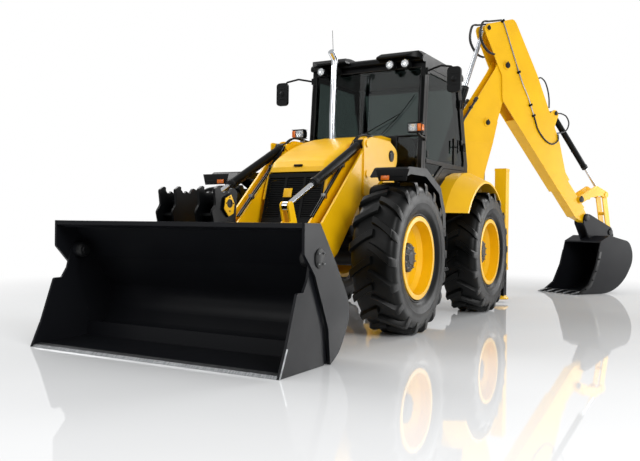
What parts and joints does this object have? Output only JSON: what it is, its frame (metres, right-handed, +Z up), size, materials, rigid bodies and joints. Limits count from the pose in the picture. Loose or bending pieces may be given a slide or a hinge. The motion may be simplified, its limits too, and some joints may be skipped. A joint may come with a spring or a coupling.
{
  "type": "backhoe loader",
  "caption": "Four-wheel-steer backhoe loader with an opening front bucket, a glazed cab and a side-shift backhoe slewed to one side, parked on its wheels.",
  "frame": {"origin": "on the ground, on the centreline, under the rear axle", "axes": "+X forward along the machine, +Y to its left, +Z up"},
  "size_m": [8.9303, 3.459, 4.0205],
  "materials": {
    "yellow": "warm yellow machine paint, semi-gloss",
    "black": "satin black paint",
    "grille": "dark grey paint",
    "chrome": "polished chrome",
    "glass": "grey-green tinted glass",
    "trim": "grained dark plastic and vinyl",
    "engine": "plain dark casting",
    "hose": "black hose rubber",
    "tyre": "black rubber"
  },
  "bodies": {
    "chassis": {"main_frame": "black", "loader_towers": "yellow", "engine_block": "engine", "engine_panels": "yellow", "radiator_grille": "grille", "exhaust_stack": "chrome", "axles": "black", "cab_shell": "black", "cab_roof": "yellow", "cab_glass": "glass", "cab_interior": "trim", "lamps_and_mirrors": "black", "front_fenders": "black", "rear_fenders": "yellow", "side_tanks": "black", "rear_frame": "yellow"},
    "hood": {"hood": "yellow"},
    "door_left": {"door_left": "black", "door_left_glass": "glass"},
    "door_right": {"door_right": "black", "door_right_glass": "glass"},
    "loader_arms": {"loader_arms": "yellow"},
    "tilt_levers": {"tilt_levers": "yellow"},
    "bucket_links": {"bucket_links": "yellow"},
    "front_bucket": {"bucket_shell": "black", "tool_carrier": "black"},
    "bucket_clam": {"bucket_clam": "black"},
    "lift_barrels": {"lift_ram_barrel": "black"},
    "lift_rods": {"lift_ram_rod": "chrome"},
    "tilt_barrels": {"tilt_ram_barrel": "black"},
    "tilt_rods": {"tilt_ram_rod": "chrome"},
    "carriage": {"sideshift_carriage": "yellow"},
    "kingpost": {"kingpost": "yellow"},
    "boom": {"boom": "yellow", "boom_hoses": "hose"},
    "boom_barrel": {"boom_ram_barrel": "black"},
    "boom_rod": {"boom_ram_rod": "chrome"},
    "dipper": {"dipper": "yellow"},
    "dipper_barrel": {"dipper_ram_barrel": "black"},
    "dipper_rod": {"dipper_ram_rod": "chrome"},
    "dipper_inner": {"dipper_inner": "yellow"},
    "tipping_crank": {"tipping_crank": "yellow"},
    "tipping_link": {"tipping_link": "yellow"},
    "hoe_bucket": {"hoe_bucket": "black"},
    "bucket_barrel": {"bucket_ram_barrel": "black"},
    "bucket_rod": {"bucket_ram_rod": "chrome"},
    "stabiliser_left": {"stabiliser_left": "yellow"},
    "stabiliser_right": {"stabiliser_right": "yellow"},
    "knuckle_front_left": {"knuckle_front_left": "black"},
    "wheel_front_left": {"tyre_front_left": "tyre", "rim_front_left": "yellow"},
    "knuckle_front_right": {"knuckle_front_right": "black"},
    "wheel_front_right": {"tyre_front_right": "tyre", "rim_front_right": "yellow"},
    "knuckle_rear_left": {"knuckle_rear_left": "black"},
    "wheel_rear_left": {"tyre_rear_left": "tyre", "rim_rear_left": "yellow"},
    "knuckle_rear_right": {"knuckle_rear_right": "black"},
    "wheel_rear_right": {"tyre_rear_right": "tyre", "rim_rear_right": "yellow"}
  },
  "joints": [
    {"name": "hood_hinge", "type": "hinge", "parent": "chassis", "child": "hood", "pos_m": [1.52, 0, 1.962], "axis": [0, -1, 0], "range_deg": [0, 55]},
    {"name": "door_left_hinge", "type": "hinge", "parent": "chassis", "child": "door_left", "pos_m": [-0.362, 0.716, 1.815], "axis": [0.2875, 0, 0.9578], "range_deg": [0, 75]},
    {"name": "door_right_hinge", "type": "hinge", "parent": "chassis", "child": "door_right", "pos_m": [-0.362, -0.716, 1.815], "axis": [-0.2875, 0, -0.9578], "range_deg": [0, 75]},
    {"name": "steer_front_left", "type": "hinge", "parent": "chassis", "child": "knuckle_front_left", "pos_m": [2.22, 0.76, 0.705], "axis": [0, 0, 1], "range_deg": [-18, 18]},
    {"name": "wheel_front_left", "type": "hinge", "parent": "knuckle_front_left", "child": "wheel_front_left", "pos_m": [2.22, 0.97, 0.705], "axis": [0, 1, 0], "continuous": true},
    {"name": "steer_front_right", "type": "hinge", "parent": "chassis", "child": "knuckle_front_right", "pos_m": [2.22, -0.76, 0.705], "axis": [0, 0, 1], "range_deg": [-18.2, 18.2]},
    {"name": "wheel_front_right", "type": "hinge", "parent": "knuckle_front_right", "child": "wheel_front_right", "pos_m": [2.22, -0.97, 0.705], "axis": [0, 1, 0], "continuous": true},
    {"name": "steer_rear_left", "type": "hinge", "parent": "chassis", "child": "knuckle_rear_left", "pos_m": [0, 0.76, 0.705], "axis": [0, 0, 1], "range_deg": [-18, 18]},
    {"name": "wheel_rear_left", "type": "hinge", "parent": "knuckle_rear_left", "child": "wheel_rear_left", "pos_m": [0, 0.97, 0.705], "axis": [0, 1, 0], "continuous": true},
    {"name": "steer_rear_right", "type": "hinge", "parent": "chassis", "child": "knuckle_rear_right", "pos_m": [0, -0.76, 0.705], "axis": [0, 0, 1], "range_deg": [-18.2, 18.2]},
    {"name": "wheel_rear_right", "type": "hinge", "parent": "knuckle_rear_right", "child": "wheel_rear_right", "pos_m": [0, -0.97, 0.705], "axis": [0, 1, 0], "continuous": true},
    {"name": "lift_arms", "type": "hinge", "parent": "chassis", "child": "loader_arms", "pos_m": [1.5, 0, 1.73], "axis": [0, -1, 0], "range_deg": [0, 78]},
    {"name": "lift_ram_base", "type": "hinge", "parent": "chassis", "child": "lift_barrels", "pos_m": [1.78, 0, 0.5], "axis": [0, -1, 0], "range_deg": [-0.2, 13.54]},
    {"name": "lift_ram_stroke", "type": "slide", "parent": "lift_barrels", "child": "lift_rods", "axis": [0.3031, 0, 0.953], "range_m": [-0.002, 0.755]},
    {"name": "bucket_tilt", "type": "hinge", "parent": "loader_arms", "child": "front_bucket", "pos_m": [3.55, 0, 0.33], "axis": [0, -1, 0], "range_deg": [-100, 40]},
    {"name": "tilt_levers_hinge", "type": "hinge", "parent": "loader_arms", "child": "tilt_levers", "pos_m": [3.3, 0, 0.8], "axis": [0, -1, 0], "range_deg": [-100.2, 40.2]},
    {"name": "bucket_links_hinge", "type": "hinge", "parent": "tilt_levers", "child": "bucket_links", "pos_m": [3.417, 0, 0.987], "axis": [0, -1, 0], "range_deg": [-40.2, 100.2]},
    {"name": "tilt_ram_base", "type": "hinge", "parent": "loader_arms", "child": "tilt_barrels", "pos_m": [2.1, 0, 1.8], "axis": [0, -1, 0], "range_deg": [-4.89, 2.08]},
    {"name": "tilt_ram_stroke", "type": "slide", "parent": "tilt_barrels", "child": "tilt_rods", "axis": [0.8983, 0, -0.4393], "range_m": [-0.2043, 0.5077]},
    {"name": "bucket_clam_hinge", "type": "hinge", "parent": "front_bucket", "child": "bucket_clam", "pos_m": [4.177, 0, 0.767], "axis": [0, -1, 0], "range_deg": [0, 55]},
    {"name": "side_shift", "type": "slide", "parent": "chassis", "child": "carriage", "axis": [0, 1, 0], "range_m": [-0.7, 0.3]},
    {"name": "slew", "type": "hinge", "parent": "carriage", "child": "kingpost", "pos_m": [-1.4, 0.2, 0.8], "axis": [0, 0, -1], "range_deg": [-123, 57]},
    {"name": "boom_hinge", "type": "hinge", "parent": "kingpost", "child": "boom", "pos_m": [-1.60967, 0.33616, 0.9], "axis": [0.5446, 0.8387, 0], "range_deg": [-75, 8]},
    {"name": "boom_ram_base", "type": "hinge", "parent": "kingpost", "child": "boom_barrel", "pos_m": [-1.76063, 0.43419, 0.64], "axis": [0.5446, 0.8387, 0], "range_deg": [-70.01, 7.65]},
    {"name": "boom_ram_stroke", "type": "slide", "parent": "boom_barrel", "child": "boom_rod", "axis": [-0.0317, 0.0206, 0.9993], "range_m": [-0.3534, 0.0395]},
    {"name": "dipper_hinge", "type": "hinge", "parent": "boom", "child": "dipper", "pos_m": [-2.10448, 0.6575, 3.34], "axis": [-0.5446, -0.8387, 0], "range_deg": [-90, 20]},
    {"name": "dipper_ram_base", "type": "hinge", "parent": "boom", "child": "dipper_barrel", "pos_m": [-1.18195, 0.05839, 1.82], "axis": [-0.5446, -0.8387, 0], "range_deg": [-0.75, 2.67]},
    {"name": "dipper_ram_stroke", "type": "slide", "parent": "dipper_barrel", "child": "dipper_rod", "axis": [-0.2926, 0.19, 0.9372], "range_m": [-0.8578, 0.1922]},
    {"name": "dipper_extension", "type": "slide", "parent": "dipper", "child": "dipper_inner", "axis": [-0.5557, 0.3609, -0.749], "range_m": [-0.3, 0.65]},
    {"name": "hoe_bucket_hinge", "type": "hinge", "parent": "dipper_inner", "child": "hoe_bucket", "pos_m": [-3.48829, 1.55615, 1.16], "axis": [0.5446, 0.8387, 0], "range_deg": [-55, 70]},
    {"name": "tipping_crank_hinge", "type": "hinge", "parent": "dipper_inner", "child": "tipping_crank", "pos_m": [-3.37926, 1.48535, 1.44], "axis": [0.5446, 0.8387, 0], "range_deg": [-49.66, 63.16]},
    {"name": "tipping_link_hinge", "type": "hinge", "parent": "hoe_bucket", "child": "tipping_link", "pos_m": [-3.9244, 1.83936, 0.94], "axis": [0.5446, 0.8387, 0], "range_deg": [-32, 25.19]},
    {"name": "hoe_bucket_ram_base", "type": "hinge", "parent": "dipper_inner", "child": "bucket_barrel", "pos_m": [-2.94315, 1.20214, 2.73], "axis": [0.5446, 0.8387, 0], "range_deg": [-5.46, 6.89]},
    {"name": "hoe_bucket_ram_stroke", "type": "slide", "parent": "bucket_barrel", "child": "bucket_rod", "axis": [-0.5552, 0.3606, -0.7495], "range_m": [-0.4843, 0.381]},
    {"name": "stabiliser_left_slide", "type": "slide", "parent": "chassis", "child": "stabiliser_left", "axis": [0, 0, 1], "range_m": [-0.3, 0.25]},
    {"name": "stabiliser_right_slide", "type": "slide", "parent": "chassis", "child": "stabiliser_right", "axis": [0, 0, 1], "range_m": [-0.3, 0.25]}
  ],
  "couplings": [
    {"joint": "steer_front_right", "follows": "steer_front_left", "ratio": 1},
    {"joint": "steer_rear_right", "follows": "steer_rear_left", "ratio": 1},
    {"joint": "lift_ram_base", "follows": "lift_arms", "ratio": 0.17106},
    {"joint": "lift_ram_stroke", "follows": "lift_arms", "m_per_rad": 0.55316},
    {"joint": "tilt_levers_hinge", "follows": "bucket_tilt", "ratio": 1},
    {"joint": "bucket_links_hinge", "follows": "bucket_tilt", "ratio": -1},
    {"joint": "tilt_ram_base", "follows": "bucket_tilt", "ratio": 0.04688},
    {"joint": "tilt_ram_stroke", "follows": "bucket_tilt", "m_per_rad": -0.28973},
    {"joint": "boom_ram_base", "follows": "boom_hinge", "ratio": 0.93078},
    {"joint": "boom_ram_stroke", "follows": "boom_hinge", "m_per_rad": 0.26848},
    {"joint": "dipper_ram_base", "follows": "dipper_hinge", "ratio": -0.02749},
    {"joint": "dipper_ram_stroke", "follows": "dipper_hinge", "m_per_rad": 0.54483},
    {"joint": "tipping_crank_hinge", "follows": "hoe_bucket_hinge", "ratio": 0.89935},
    {"joint": "tipping_link_hinge", "follows": "hoe_bucket_hinge", "ratio": -0.45432},
    {"joint": "hoe_bucket_ram_base", "follows": "hoe_bucket_hinge", "ratio": 0.095552},
    {"joint": "hoe_bucket_ram_stroke", "follows": "hoe_bucket_hinge", "m_per_rad": -0.39478}
  ]
}
